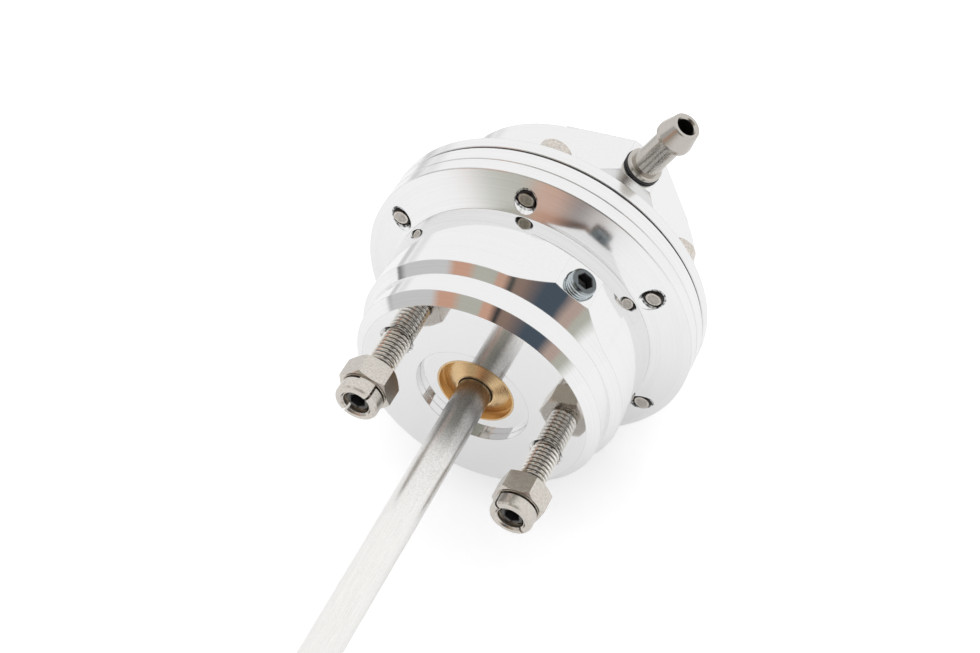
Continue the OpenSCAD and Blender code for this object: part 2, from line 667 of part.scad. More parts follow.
lower_body();
middle_ring();
cap();
rod();
rod_bush();
rod_seal();
bush_clip();
mount_studs();
lock_nuts();
flange_bolts();
body_seal();
diaphragm();
piston();
clamp_plate();
piston_nut();
outer_spring();
inner_spring();
spring_seat();
hose_barb();
barb_seal();
blanking_plug();
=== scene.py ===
"""Materials, fine detail, camera and light for a diaphragm actuator, in the CAD's frame."""
import bmesh
import bpy
import math
import numpy as np
from mathutils import Euler, Matrix, Vector


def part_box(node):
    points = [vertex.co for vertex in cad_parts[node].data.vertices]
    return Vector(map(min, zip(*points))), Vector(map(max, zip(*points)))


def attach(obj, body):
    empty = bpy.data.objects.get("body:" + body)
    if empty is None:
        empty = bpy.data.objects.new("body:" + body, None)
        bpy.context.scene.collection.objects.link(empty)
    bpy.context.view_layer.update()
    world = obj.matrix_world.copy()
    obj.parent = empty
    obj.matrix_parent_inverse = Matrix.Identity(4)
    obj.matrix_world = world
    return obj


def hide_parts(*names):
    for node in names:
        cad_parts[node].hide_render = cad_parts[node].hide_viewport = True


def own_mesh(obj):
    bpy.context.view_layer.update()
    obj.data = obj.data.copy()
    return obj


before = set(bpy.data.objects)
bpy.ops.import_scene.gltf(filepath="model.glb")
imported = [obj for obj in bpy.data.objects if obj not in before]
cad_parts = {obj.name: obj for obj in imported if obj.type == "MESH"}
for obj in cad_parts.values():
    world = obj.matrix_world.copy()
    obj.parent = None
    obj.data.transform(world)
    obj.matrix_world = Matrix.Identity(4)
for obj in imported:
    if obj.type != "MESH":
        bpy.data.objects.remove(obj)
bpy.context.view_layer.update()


# Sizes and places, in millimetres

MM = 0.001


def span(node):
    """The CAD node's lowest and highest corner, in millimetres."""
    return [np.array(corner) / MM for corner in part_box(node)]


stud_low, stud_high = span("mount_studs")
rod_low, rod_high = span("rod")
plug_low, plug_high = span("blanking_plug")
barb_low, barb_high = span("hose_barb")
spring_low, spring_high = span("outer_spring")

FLANGE_R = span("lower_body")[1][0]
BOLT_EDGE = 4.6
BOLT_CIRCLE_R = FLANGE_R - BOLT_EDGE
FOOT_Z = -24.46  # where the body meets its flange
STUD_R = (stud_high[1] - stud_low[1]) / 2
STUD_OFFSET = (stud_high[0] - stud_low[0]) / 2 - STUD_R
ROD_R = (rod_high[0] - rod_low[0]) / 2
ROD_THREAD_R = 3.0
ROD_THREAD_LEN = 16.0  # at the outer end
PLUG_R = (plug_high[2] - plug_low[2]) / 2
PLUG_Z = (plug_low[2] + plug_high[2]) / 2
LOBE_TURN = math.radians(-1.5)
PLUG_SHIFT = 0.3  # of the plug's axis, beside the rod's
PLUG_FROM = 26.1  # from the rod's axis to the plug's inner end
PLUG_TO = 33.1
PLUG_MOUTH_X = -1.14  # X of the plug's axis near its outer end
BARB_Z = (barb_low[2] + barb_high[2]) / 2
SEAT_Z = spring_high[2]
UNDER_PISTON = spring_low[2]
NUT_SEAT = 9.5  # the studs are bare from the mount face to here


# Node helpers


class Graph:
    """A short way to write a node tree."""

    def __init__(self, tree):
        self.tree = tree
        tree.nodes.clear()

    def add(self, kind, inputs=None, **settings):
        """Adds a node, sets its properties, then sets or links its inputs by name or number."""
        node = self.tree.nodes.new(kind)
        for key, value in settings.items():
            setattr(node, key, value)
        for key, value in (inputs or {}).items():
            socket = node.inputs[key]
            if isinstance(value, bpy.types.NodeSocket):
                self.tree.links.new(value, socket)
            else:
                socket.default_value = value
        return node

    def use(self, effect, inputs):
        """Places a shared effect with its own values, and gives its outputs."""
        return self.add("ShaderNodeGroup", inputs, node_tree=effect).outputs

    def maths(self, op, a, b=0.0, c=0.0):
        """A maths node of up to three values."""
        return self.add("ShaderNodeMath", {0: a, 1: b, 2: c}, operation=op).outputs[0]

    def product(self, first, *others):
        """The values multiplied together."""
        for other in others:
            first = self.maths("MULTIPLY", first, other)
        return first

    def parts(self, place):
        """The place's X, Y and Z."""
        return self.add("ShaderNodeSeparateXYZ", {0: place}).outputs

    def scaled(self, vector, share):
        """A vector or colour times a share."""
        return self.add("ShaderNodeVectorMath", {0: vector, "Scale": share}, operation="SCALE").outputs[0]

    def along(self, way, direction):
        """How far the place or way lies along a direction, which is a vector or an output."""
        other = direction if isinstance(direction, bpy.types.NodeSocket) else tuple(direction)
        return self.add("ShaderNodeVectorMath", {0: way, 1: other}, operation="DOT_PRODUCT").outputs["Value"]

    def long_side(self, u, w):
        """The square root of u squared plus w squared."""
        return self.maths("SQRT", self.maths("ADD", self.product(u, u), self.product(w, w)))

    def ramped(self, value, low, high, first, last):
        """Maps low..high to first..last, and holds both ends."""
        return self.add("ShaderNodeMapRange", {0: value, 1: low, 2: high, 3: first, 4: last}).outputs[0]

    def ease(self, value, zero, one):
        """A smooth step from 0 at zero to 1 at one."""
        step = self.add("ShaderNodeMapRange", {0: value, 1: zero, 2: one}, interpolation_type="SMOOTHSTEP")
        return step.outputs[0]

    def between(self, value, start, full, fading, end):
        """1 from full to fading, with a smooth step to 0 at start and at end."""
        return self.product(self.ease(value, start, full), self.ease(value, end, fading))

    def varied(self, grain, middle, spread):
        """The middle value, plus half the spread where the grain is 1, and minus half where it is 0."""
        return self.maths("MULTIPLY_ADD", self.maths("SUBTRACT", grain, 0.5), spread, middle)

    def noise(self, place, scale, detail, roughness=0.5):
        """A noise of the scaled place."""
        settings = {"Vector": place, "Scale": scale, "Detail": detail, "Roughness": roughness}
        return self.add("ShaderNodeTexNoise", settings).outputs[0]

    def mixed(self, share, under, over):
        """One colour over another, by a share."""
        return self.add("ShaderNodeMix", {0: share, 6: under, 7: over}, data_type="RGBA").outputs[2]

    def ramp(self, value, stops):
        """A colour ramp with (place, colour) stops."""
        node = self.add("ShaderNodeValToRGB", {0: value})
        marks = node.color_ramp.elements
        while len(marks) < len(stops):
            marks.new(1.0)
        for mark, (place, colour) in zip(marks, stops):
            mark.position = place
            mark.color = colour
        return node.outputs[0]


def material(name):
    """An empty node material and its graph."""
    mat = bpy.data.materials.new(name)
    mat.use_nodes = True
    return mat, Graph(mat.node_tree)


# Effects that several materials share, each a node group


def new_effect(name, takes, gives):
    """A node group with named inputs and outputs: the group, its graph and the values that it is given."""
    tree = bpy.data.node_groups.new(name, "ShaderNodeTree")
    for way, sockets in (("INPUT", takes), ("OUTPUT", gives)):
        for label, kind in sockets.items():
            tree.interface.new_socket(name=label, in_out=way, socket_type="NodeSocket" + kind)
    g = Graph(tree)
    return tree, g, g.add("NodeGroupInput").outputs


MARK_DEPTH = 0.02
GRAIN_DEPTH = 0.03
EDGE_COSINE = (0.9, 0.995)
EDGE_PAINTED_SHADE = 0.55
SIXTH = math.pi / 3
SPECK_NOISE = (0.35, 0.65)


def turning_marks():
    """Fine turning marks: a noise of the distance from the Z axis and of Z, as a bump and as grain."""
    takes = {"Place": "Vector", "Scale": "Float", "Strength": "Float", "Normal": "Vector"}
    tree, g, given = new_effect("turning marks", takes, {"Normal": "Vector", "Grain": "Float"})
    x, y, z = g.parts(given["Place"])
    profile = g.add("ShaderNodeCombineXYZ", {0: g.long_side(x, y), 1: z}).outputs[0]
    grain = g.noise(g.scaled(profile, given["Scale"]), scale=1.0, detail=3.0, roughness=0.6)
    bump = g.add("ShaderNodeBump", {"Strength": given["Strength"], "Distance": MARK_DEPTH * MM,
                                    "Height": grain, "Normal": given["Normal"]})
    g.add("NodeGroupOutput", {"Normal": bump.outputs[0], "Grain": grain})
    return tree


def satin_grain():
    """Satin grain: a noise of the stretched place, as a bump and as grain."""
    takes = {"Place": "Vector", "Stretch": "Vector", "Scale": "Float", "Strength": "Float"}
    tree, g, given = new_effect("satin grain", takes, {"Normal": "Vector", "Grain": "Float"})
    place = g.add("ShaderNodeMapping", {"Vector": given["Place"], "Scale": given["Stretch"]}).outputs[0]
    grain = g.noise(place, given["Scale"], detail=4.0)
    bump = g.add("ShaderNodeBump", {"Strength": given["Strength"], "Distance": GRAIN_DEPTH * MM,
                                    "Height": grain})
    g.add("NodeGroupOutput", {"Normal": bump.outputs[0], "Grain": grain})
    return tree


def eased_edges_and_shade():
    """Corners that look rounded by a radius. The share is a painted shade along them, darker where the normal
    leaves the flat one.
    """
    takes = {"Radius": "Float"}
    tree, g, given = new_effect("eased edges and painted shade", takes, {"Normal": "Vector", "Share": "Float"})
    eased = g.add("ShaderNodeBevel", {"Radius": given["Radius"]}, samples=6).outputs[0]
    same = g.along(eased, g.add("ShaderNodeNewGeometry").outputs["Normal"])
    g.add("NodeGroupOutput", {"Normal": eased, "Share": g.ramped(same, *EDGE_COSINE, EDGE_PAINTED_SHADE, 1.0)})
    return tree


def bolt_axes():
    """Distance to the nearest of the six bolt axes: the bearing is folded into one sixth of a turn, and the
    sixth that is left has its bolt at bearing 0."""
    tree, g, given = new_effect("bolt axes", {"Place": "Vector"}, {"Away": "Float"})
    x, y, _ = g.parts(given["Place"])
    r = g.long_side(x, y)
    ahead = g.maths("ADD", g.maths("ARCTAN2", y, x), SIXTH / 2)
    turn = g.maths("SUBTRACT", g.maths("FLOORED_MODULO", ahead, SIXTH), SIXTH / 2)
    out = g.maths("SUBTRACT", g.product(r, g.maths("COSINE", turn)), BOLT_CIRCLE_R * MM)
    g.add("NodeGroupOutput", {"Away": g.long_side(out, g.product(r, g.maths("SINE", turn)))})
    return tree


def painted_root_shade():
    """A painted shade in a thread's roots: a share from the distance to its axis, mapped from root to crest.
    """
    takes = {"Across": "Float", "Beside": "Float", "Root": "Float", "Crest": "Float", "Dark": "Float"}
    tree, g, given = new_effect("painted thread root shade", takes, {"Share": "Float"})
    away = g.long_side(given["Across"], given["Beside"])
    g.add("NodeGroupOutput", {"Share": g.ramped(away, given["Root"], given["Crest"], given["Dark"], 1.0)})
    return tree


def specks():
    """A share that varies in specks from dark to light: the middle third of a noise of the place."""
    takes = {"Place": "Vector", "Scale": "Float", "Detail": "Float", "Dark": "Float", "Light": "Float"}
    tree, g, given = new_effect("specks", takes, {"Share": "Float"})
    noise = g.noise(given["Place"], given["Scale"], given["Detail"])
    g.add("NodeGroupOutput", {"Share": g.ramped(noise, *SPECK_NOISE, given["Dark"], given["Light"])})
    return tree


TURNING_MARKS = turning_marks()
SATIN_GRAIN = satin_grain()
EASED_EDGES_AND_SHADE = eased_edges_and_shade()
BOLT_AXES = bolt_axes()
PAINTED_ROOT_SHADE = painted_root_shade()
SPECKS = specks()


# How the finish of single pieces changes with the place, with painted shade and painted highlights. A pair of
# sizes is where a change starts and where it is full.

BODY_ROUGH = 0.05
FLANGE_ROUGH = 0.15
FOOT_REACH = (FOOT_Z + 0.02, FOOT_Z)
HOLE_R = (2.4, 2.5)
# The painted shade on the rod near the bush: its heights, and those over which its specks fade.
ROD_SHADE_Z = (10.0, 18.0)
ROD_SPECKS_Z = (12.0, 36.0)
# Radii of the painted highlight ring and the painted shade rim on the bolt ends. The heads are lighter by the
# same share.
HIGHLIGHT_RING_R = (1.2, 1.35)
SHADE_RIM_R = (1.55, 1.7)
HEADS_END_Z = (-29.0, -28.0)
HEAD_AND_PAINTED_HIGHLIGHT = 1.45


def ramped_mm(g, value, reach, first, last):
    """Maps a length or height from the first to the last value over a reach in millimetres."""
    return g.ramped(value, reach[0] * MM, reach[1] * MM, first, last)


def body_roughness(g, at):
    """The body is polished, and its flange, below the foot, is rougher."""
    return ramped_mm(g, g.parts(at)[2], FOOT_REACH, BODY_ROUGH, FLANGE_ROUGH)


def bolt_holes_painted_shade(g, at):
    """1 on the open metal, and painted shade in the six bolt holes, dark with the specks of a thread."""
    away = g.use(BOLT_AXES, {"Place": at})["Away"]
    thread = g.use(SPECKS, {"Place": at, "Scale": 1800.0, "Detail": 2.0, "Dark": 0.05, "Light": 0.85})
    return ramped_mm(g, away, HOLE_R, thread["Share"], 1.0)


def stud_painted_root_shade(g, at):
    """Painted shade in the roots of the stud threads, by the distance from the nearer stud's axis."""
    x, y, _ = g.parts(at)
    across = g.maths("SUBTRACT", g.maths("ABSOLUTE", x), STUD_OFFSET * MM)
    sizes = {"Root": 2.45 * MM, "Crest": 2.85 * MM, "Dark": 0.12}
    return g.use(PAINTED_ROOT_SHADE, {"Across": across, "Beside": y, **sizes})["Share"]


def plug_painted_root_shade(g, at):
    """Painted shade in the roots of the plug's thread, near its open end."""
    x, _, z = g.parts(at)
    across, beside = g.maths("SUBTRACT", x, PLUG_MOUTH_X * MM), g.maths("SUBTRACT", z, PLUG_Z * MM)
    sizes = {"Root": 2.55 * MM, "Crest": 2.8 * MM, "Dark": 0.3}
    return g.use(PAINTED_ROOT_SHADE, {"Across": across, "Beside": beside, **sizes})["Share"]


def rod_painted_shade_near_bush(g, at):
    """Painted shade, darker where the rod comes out of the bush, with fine specks that fade further out."""
    height = g.parts(at)[2]
    dark = ramped_mm(g, height, ROD_SPECKS_Z, first=0.76, last=1.0)
    specked = g.use(SPECKS, {"Place": at, "Scale": 3200.0, "Detail": 3.0, "Dark": dark, "Light": 1.06})
    return g.product(ramped_mm(g, height, ROD_SHADE_Z, first=0.6, last=1.0), specked["Share"])


def bolt_end_highlight_and_shade(g, at):
    """On the threaded end of a flange bolt: a painted highlight as a bright ring, and a painted shade as a
    dark rim round it. The head is light all over."""
    away = g.use(BOLT_AXES, {"Place": at})["Away"]
    bright = ramped_mm(g, away, HIGHLIGHT_RING_R, first=1.0, last=HEAD_AND_PAINTED_HIGHLIGHT)
    dark = ramped_mm(g, away, SHADE_RIM_R, first=1.0, last=0.06)
    return ramped_mm(g, g.parts(at)[2], HEADS_END_Z, first=HEAD_AND_PAINTED_HIGHLIGHT, last=g.product(bright, dark))


# Materials


def metal(g, colour, roughness, normal):
    """Ends a material as bare metal."""
    shader = g.add("ShaderNodeBsdfPrincipled", {"Base Color": colour, "Metallic": 1.0, "Roughness": roughness,
                                                "Normal": normal})
    g.add("ShaderNodeOutputMaterial", {0: shader.outputs[0]})


def turned_metal(name, base, rough, tone, scale=4500.0, strength=0.2, spread=0.06, edge=0.0, axis_z=None,
                 shade=None):
    """A bright metal with turning marks round the Z axis, or round a -Y axis at height axis_z. Rough is a
    number or a function of the place. Tone is how much the marks vary the colour, and spread the roughness.
    With edge, the corners look rounded by that radius, and a thin line of painted shade darkens them. Shade
    gives painted shade, as a share of the colour."""
    mat, g = material(name)
    at = g.add("ShaderNodeTexCoord").outputs["Object"]
    place = at
    if axis_z is not None:
        onto_z = {"Location": (0.0, axis_z * MM, 0.0), "Rotation": (math.radians(90), 0.0, 0.0)}
        place = g.add("ShaderNodeMapping", {"Vector": at, **onto_z}).outputs[0]
    shares = [shade(g, at)] if shade else []
    if edge:
        # The eased edges give rounded normals and a painted shade along the corners.
        normal, darker = g.use(EASED_EDGES_AND_SHADE, {"Radius": edge * MM})
        shares.append(darker)
    else:
        normal = g.add("ShaderNodeNewGeometry").outputs["Normal"]
    marks = g.use(TURNING_MARKS, {"Place": place, "Scale": scale, "Strength": strength, "Normal": normal})
    colour = g.scaled(base, g.product(g.varied(marks["Grain"], 1.0, tone), *shares))
    middle = rough(g, at) if callable(rough) else rough
    metal(g, colour, g.varied(marks["Grain"], middle, spread), marks["Normal"])
    return mat


def grained_metal(name, base, rough, tone=0.0, scale=12000.0, strength=0.05, spread=0.12,
                  stretch=(1.0, 1.0, 1.0), shade=None):
    """A satin metal. Tone is how much its grain varies the colour, and spread the roughness. Shade gives
    painted shade and painted highlights, as a share of the colour. Without tone or shade, the colour is the
    same all over."""
    mat, g = material(name)
    at = g.add("ShaderNodeTexCoord").outputs["Object"]
    grain = g.use(SATIN_GRAIN, {"Place": at, "Stretch": stretch, "Scale": scale, "Strength": strength})
    colour = (*base, 1.0)
    if tone or shade:
        shares = [shade(g, at)] if shade else []
        colour = g.scaled(base, g.product(g.varied(grain["Grain"], 1.0, tone), *shares))
    metal(g, colour, g.varied(grain["Grain"], rough, spread), grain["Normal"])
    return mat


def plain(name, base, rough):
    """A plain material that isn't metal."""
    mat, g = material(name)
    shader = g.add("ShaderNodeBsdfPrincipled", {"Base Color": (*base, 1.0), "Roughness": rough})
    g.add("ShaderNodeOutputMaterial", {0: shader.outputs[0]})
    return mat


ALUMINIUM = (0.86, 0.86, 0.86)
EDGE_R = 0.18

polished = turned_metal("polished aluminium", ALUMINIUM, body_roughness, tone=0.14, strength=0.06,
                        spread=0.03, edge=EDGE_R, shade=bolt_holes_painted_shade)
turned = turned_metal("turned aluminium", ALUMINIUM, 0.14, tone=0.14, edge=EDGE_R)
barb_steel = turned_metal("barb stainless", (0.54, 0.51, 0.47), 0.22, tone=0.3, scale=4000.0, spread=0.2,
                          axis_z=BARB_Z)
brass = turned_metal("bush brass", (0.72, 0.51, 0.28), 0.28, tone=0.35, strength=0.4, spread=0.15)

rod_steel = grained_metal("rod stainless", (0.86, 0.85, 0.83), 0.3, tone=0.25, scale=5000.0, strength=0.1,
                          spread=0.1, stretch=(1.0, 1.0, 0.03), shade=rod_painted_shade_near_bush)
stainless = grained_metal("satin stainless", (0.6, 0.58, 0.55), 0.25)
stud_steel = grained_metal("stud stainless", (0.85, 0.82, 0.77), 0.14, shade=stud_painted_root_shade)
nut_steel = grained_metal("nut stainless", (0.64, 0.6, 0.55), 0.24, tone=0.55, scale=2600.0, strength=0.12)
bolt_steel = grained_metal("bolt steel", (0.45, 0.42, 0.385), 0.25, tone=1.1, scale=2000.0, shade=bolt_end_highlight_and_shade)
plug_steel = grained_metal("plug zinc", (0.5, 0.55, 0.57), 0.16, tone=0.3, scale=3000.0, shade=plug_painted_root_shade)
spring_steel = grained_metal("spring wire", (0.5, 0.5, 0.52), 0.3)

rubber = plain("black rubber", (0.012, 0.012, 0.013), 0.5)
# Painted shade: a near-black for the insides of the hexagon sockets.
painted_socket_shade = plain("painted socket shade", (0.015, 0.015, 0.017), 0.35)

finish_of = {
    "lower_body": polished, "middle_ring": turned, "cap": turned, "rod": rod_steel, "rod_bush": brass,
    "rod_seal": rubber, "mount_studs": stud_steel, "lock_nuts": nut_steel, "flange_bolts": bolt_steel,
    "body_seal": rubber, "diaphragm": rubber, "piston": turned, "clamp_plate": stainless,
    "piston_nut": nut_steel, "outer_spring": spring_steel, "inner_spring": spring_steel,
    "spring_seat": stainless, "hose_barb": barb_steel, "barb_seal": rubber, "blanking_plug": plug_steel,
    "bush_clip": spring_steel,
}
for name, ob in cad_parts.items():
    ob.data.materials.clear()
    ob.data.materials.append(finish_of[name])


# Shapes of the fine pieces, in millimetres until they are placed

AROUND = 96
ANGLES = np.linspace(0, 2 * np.pi, AROUND, endpoint=False)
SHARP_ANGLE = math.radians(40)


def finished(mesh, mats, index=None):
    """An object at the origin with the mesh, smooth but for its corners. Index picks each face's material."""
    count = len(mesh.polygons)
    mesh.polygons.foreach_set("use_smooth", np.ones(count, dtype=bool))
    mesh.set_sharp_from_angle(angle=SHARP_ANGLE)
    mesh.materials.clear()
    for mat in mats:
        mesh.materials.append(mat)
    mesh.polygons.foreach_set("material_index", np.zeros(count, dtype=np.int32) if index is None else index)
    ob = bpy.data.objects.new(mesh.name, mesh)
    bpy.context.scene.collection.objects.link(ob)
    return ob


def skin(name, shells, mats, shaded=0):
    """Closed skins, each through an array of rings of points, with a fan to the middle of either end ring.
    The last bands of each, as many as shaded, and the fan after them take the second material."""
    points, faces, index = [], [], []
    for rows in shells:
        count, around, _ = rows.shape
        number = len(points) + np.arange(count * around).reshape(count, around)
        ahead = np.roll(number, -1, axis=1)
        near, far = number[-1, -1] + 1, number[-1, -1] + 2
        bands = np.stack([number[:-1], ahead[:-1], ahead[1:], number[1:]], -1).reshape(-1, 4)
        near_fan = np.stack([np.full(around, near), ahead[0], number[0]], -1)
        far_fan = np.stack([number[-1], ahead[-1], np.full(around, far)], -1)
        points += rows.reshape(-1, 3).tolist() + [rows[0].mean(0).tolist(), rows[-1].mean(0).tolist()]
        faces += bands.tolist() + near_fan.tolist() + far_fan.tolist()
        index.append(np.repeat(np.arange(count - 1) >= count - 1 - shaded, around))
        index.append(np.repeat([False, shaded > 0], around))
    mesh = bpy.data.meshes.new(name)
    mesh.from_pydata(points, [], faces)
    mesh.update()
    return finished(mesh, mats, np.concatenate(index).astype(np.int32))


def merged(name, node):
    """A copy of the CAD node's mesh with its loose triangles joined."""
    joined = bmesh.new()
    joined.from_mesh(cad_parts[node].data)
    bmesh.ops.remove_doubles(joined, verts=joined.verts, dist=0.001 * MM)
    mesh = bpy.data.meshes.new(name)
    joined.to_mesh(mesh)
    joined.free()
    return mesh


def axis_at(origin, axis, across):
    """An axis in space: its origin, and a matrix with columns across, the third direction and the axis."""
    axis, across = np.array(axis, float), np.array(across, float)
    return np.array(origin, float), np.stack([across, np.cross(axis, across), axis], 1)


def rings(axis, radius, s):
    """Rings of points round an axis, at each distance s along it. The radius is one number for each ring, or
    one for each ring and angle: across times its cosine, and the third direction times its sine."""
    origin, turn = axis
    radius, s, angle = np.broadcast_arrays(radius, np.reshape(s, (-1, 1)), ANGLES)
    local = np.stack([radius * np.cos(angle), radius * np.sin(angle), s], -1)
    return (origin + local @ turn.T) * MM


CREST_FLAT = 0.125  # of the wave, so an eighth of the pitch
STEPS_PER_PITCH = 14
HELD_IN = 0.2  # from the crest to the pitch radius
SKIN_IN = 0.01  # how far a skin lies inside its CAD node
# Each form of thread is its depth and its pitch.
M6 = (0.58, 1.0)
FINE = (0.45, 0.75)


def threaded(axis, start, end, major, form, run_in=0.0, run_out=0.0, bare=None):
    """Rings of a right-hand thread. Its radius is a trapezoid wave of s/pitch minus the turn, flat for an
    eighth of the pitch at crest and root. Cones cut the crest over the run-in and the run-out. Outside the
    bare stretch the crest is cut to the pitch radius, as it is in the CAD."""
    depth, pitch = form
    s = np.linspace(start, end, max(2, round((end - start) / pitch * STEPS_PER_PITCH) + 1))[:, None]
    wave = np.abs(2 * np.mod(s / pitch - ANGLES / (2 * np.pi), 1.0) - 1)
    radius = major - depth * np.clip((wave - CREST_FLAT) / (1 - 2 * CREST_FLAT), 0.0, 1.0)
    if run_in:
        radius = np.minimum(radius, major - run_in + (s - start))
    if run_out:
        radius = np.minimum(radius, major - run_out + (end - s))
    if bare:
        held = (s < bare[0]) | (s > bare[1])
        radius = np.where(held, np.minimum(radius, major - HELD_IN), radius)
    return rings(axis, radius, s)


SOCKET_FLATS = 3.0
MOUTH_WIDER = 0.15
MOUTH_DEEP = 0.12
FLOOR_DEEP = 0.35


def socket(axis, end, depth):
    """Rings of a hexagon socket in the end face: a chamfered mouth, the flats, and a floor that is a shallow
    cone. The hexagon's radius is half its width across flats, over the cosine of the angle from the middle
    of the nearest flat."""
    flats = SOCKET_FLATS / 2 / np.cos(np.mod(ANGLES, np.pi / 3) - np.pi / 6)
    floor = end - depth
    return rings(axis, np.stack([flats + MOUTH_WIDER, flats, flats, flats / 2]),
                 [end, end - MOUTH_DEEP, floor, floor - FLOOR_DEEP])


# The two studs, each a thread with a hexagon socket in its outer end

stud_r = STUD_R - SKIN_IN
stud_end = stud_high[2] - 2 * SKIN_IN
studs = []
for side in (-1, 1):
    axis = axis_at((side * STUD_OFFSET, 0, 0), (0, 0, 1), (1, 0, 0))
    thread = threaded(axis, stud_low[2] + SKIN_IN, stud_end, stud_r, M6, run_in=0.6, run_out=0.7,
                      bare=(2 * SKIN_IN, NUT_SEAT - 2 * SKIN_IN))
    studs.append(np.concatenate([thread, socket(axis, stud_end, depth=2.1)]))
stud_threads = skin("stud_threads", studs, [stud_steel, painted_socket_shade], shaded=3)
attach(stud_threads, "housing")
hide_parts("mount_studs")

# The rod: a smooth shank with a bevelled shoulder, and a thread at either end

SHOULDER_BEVEL = (0.65, 0.05)  # where the bevel starts and ends, before the thread
axis = axis_at((0, 0, 0), (0, 0, 1), (1, 0, 0))
shank_r = ROD_R - SKIN_IN
thread_r = ROD_THREAD_R - SKIN_IN
shoulder = rod_high[2] - ROD_THREAD_LEN
tail = threaded(axis, rod_low[2] + SKIN_IN, UNDER_PISTON, thread_r, M6, run_in=0.5)
shank = rings(axis, [[shank_r], [shank_r], [thread_r]],
              [UNDER_PISTON + 2 * SKIN_IN, shoulder - SHOULDER_BEVEL[0], shoulder - SHOULDER_BEVEL[1]])
thread = threaded(axis, shoulder, rod_high[2] - SKIN_IN, thread_r, M6, run_in=0.6, run_out=0.7)
rod_skin = skin("rod_skin", [np.concatenate([tail, shank, thread])], [rod_steel])
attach(rod_skin, "slider")
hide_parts("rod")

# The blanking plug: a fine thread with a hexagon socket, square to the turned lobe

across = np.array((math.cos(LOBE_TURN), math.sin(LOBE_TURN), 0.0))
outward = np.array((math.sin(LOBE_TURN), -math.cos(LOBE_TURN), 0.0))
axis = axis_at(-PLUG_SHIFT * across + np.array((0.0, 0.0, PLUG_Z)), outward, across)
plug_end = PLUG_TO - SKIN_IN
thread = threaded(axis, PLUG_FROM + SKIN_IN, plug_end, PLUG_R - SKIN_IN, FINE, run_in=0.5, run_out=0.55)
plug = np.concatenate([thread, socket(axis, plug_end, depth=2.4)])
plug_skin = skin("plug_skin", [plug], [plug_steel, painted_socket_shade], shaded=3)
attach(plug_skin, "housing")
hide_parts("blanking_plug")

# The two springs, from the piston to the seat.

WIRE_SIDES = 14
WIRE_STEPS = 48
FLAT_LEAD = 2.15  # rise of a flat turn, in wire radii
# Each has a CAD node, the radius of its coil, the radius of its wire, and its turns.
SPRINGS = (("outer_spring", 16.588, 1.25, 6.5), ("inner_spring", 11.01, 0.95, 7.5))


def coil(coil_r, wire_r, turns):
    """Rings of a round wire along a helix. Its height grows evenly with the turns, but in the first and the
    last turn, which lie flat, it grows by the flat lead times the wire's radius."""
    travel = SEAT_Z - UNDER_PISTON - 2 * wire_r
    lead = FLAT_LEAD * wire_r / travel
    t = np.linspace(0.0, turns, round(turns * WIRE_STEPS) + 1)[:, None]
    free = lead + (1 - 2 * lead) / (turns - 2) * (t - 1)
    share = np.where(t < 1, lead * t, np.where(t > turns - 1, 1 - lead * (turns - t), free))
    round_wire = np.linspace(0.0, 2 * np.pi, WIRE_SIDES, endpoint=False)
    r = coil_r + wire_r * np.cos(round_wire)
    z = UNDER_PISTON + wire_r + travel * share - wire_r * np.sin(round_wire)
    return np.stack([r * np.cos(2 * np.pi * t), r * np.sin(2 * np.pi * t), z], -1) * MM


for node, coil_r, wire_r, turns in SPRINGS:
    spring = skin(node + "_coil", [coil(coil_r, wire_r, turns)], [spring_steel])
    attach(spring, "housing")
    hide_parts(node)
    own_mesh(spring)

# The diaphragm, a copy of its CAD mesh with the loose triangles joined.

diaphragm_sheet = finished(merged("diaphragm_sheet", "diaphragm"), [rubber])
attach(diaphragm_sheet, "housing")
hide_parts("diaphragm")
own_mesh(diaphragm_sheet)


# Camera. Its turns are about X, Y and Z, in degrees.

CAMERA_AT = Vector((52.441, -273.463, 196.694)) * MM
CAMERA_TURNS = (-47.988, 24.263, -149.704)
LENS_MM = 62.0
SENSOR_MM = 36.0
CLIP_FROM = 10.0

camera_data = bpy.data.cameras.new("camera")
camera_data.sensor_width = SENSOR_MM
camera_data.lens = LENS_MM
camera_data.clip_start = CLIP_FROM * MM
camera = bpy.data.objects.new("camera", camera_data)
camera_turn = Euler([math.radians(angle) for angle in CAMERA_TURNS])
camera.matrix_world = Matrix.LocRotScale(CAMERA_AT, camera_turn, None)
bpy.context.scene.collection.objects.link(camera)
bpy.context.scene.camera = camera


# Floor. The part lies on its flange rim, so the paper is parallel to the rod.

ROD_WAY = Vector((0.0, 0.0, 1.0))
PAPER_UP = Vector((0.504, -0.863, 0.0)).normalized()
PAPER_ACROSS = Vector((-PAPER_UP.y, PAPER_UP.x, 0.0))
PAPER_GAP = 0.02
PAPER_DROP = FLANGE_R + PAPER_GAP
PAPER_SIZE = 500.0
PAPER_COLOUR = (0.96, 0.96, 0.965)
PAPER_GLOW = 0.22
# The bearings of the cap's side, in degrees: where a patch starts, is full, begins to fade, and ends.
CAP_SIDE = (-75.0, -45.0, -35.0, -5.0)
# Distances from the middle of the paper at which each shade starts and is full.
BAND_FROM = (175.0, 210.0)
BAND_SHADE = 0.34
BEYOND_FROM = (250.0, 300.0)
BEYOND_LIGHTER = 0.15


def far_shade(g):
    """How much darker reflections see the far paper on the cap's side: a band, and a lighter shade beyond."""
    at = g.add("ShaderNodeTexCoord").outputs["Object"]
    onto_paper = PAPER_UP.to_track_quat("Z", "Y").inverted()
    across, rodwards = g.along(at, onto_paper @ PAPER_ACROSS), g.along(at, onto_paper @ ROD_WAY)
    far = g.product(g.long_side(across, rodwards), 1 / MM)
    bearing = g.maths("DEGREES", g.maths("ARCTAN2", rodwards, across))
    shade = g.maths("SUBTRACT", g.product(g.ease(far, *BAND_FROM), BAND_SHADE),
                    g.product(g.ease(far, *BEYOND_FROM), BEYOND_LIGHTER))
    return g.product(g.between(bearing, *CAP_SIDE), shade)


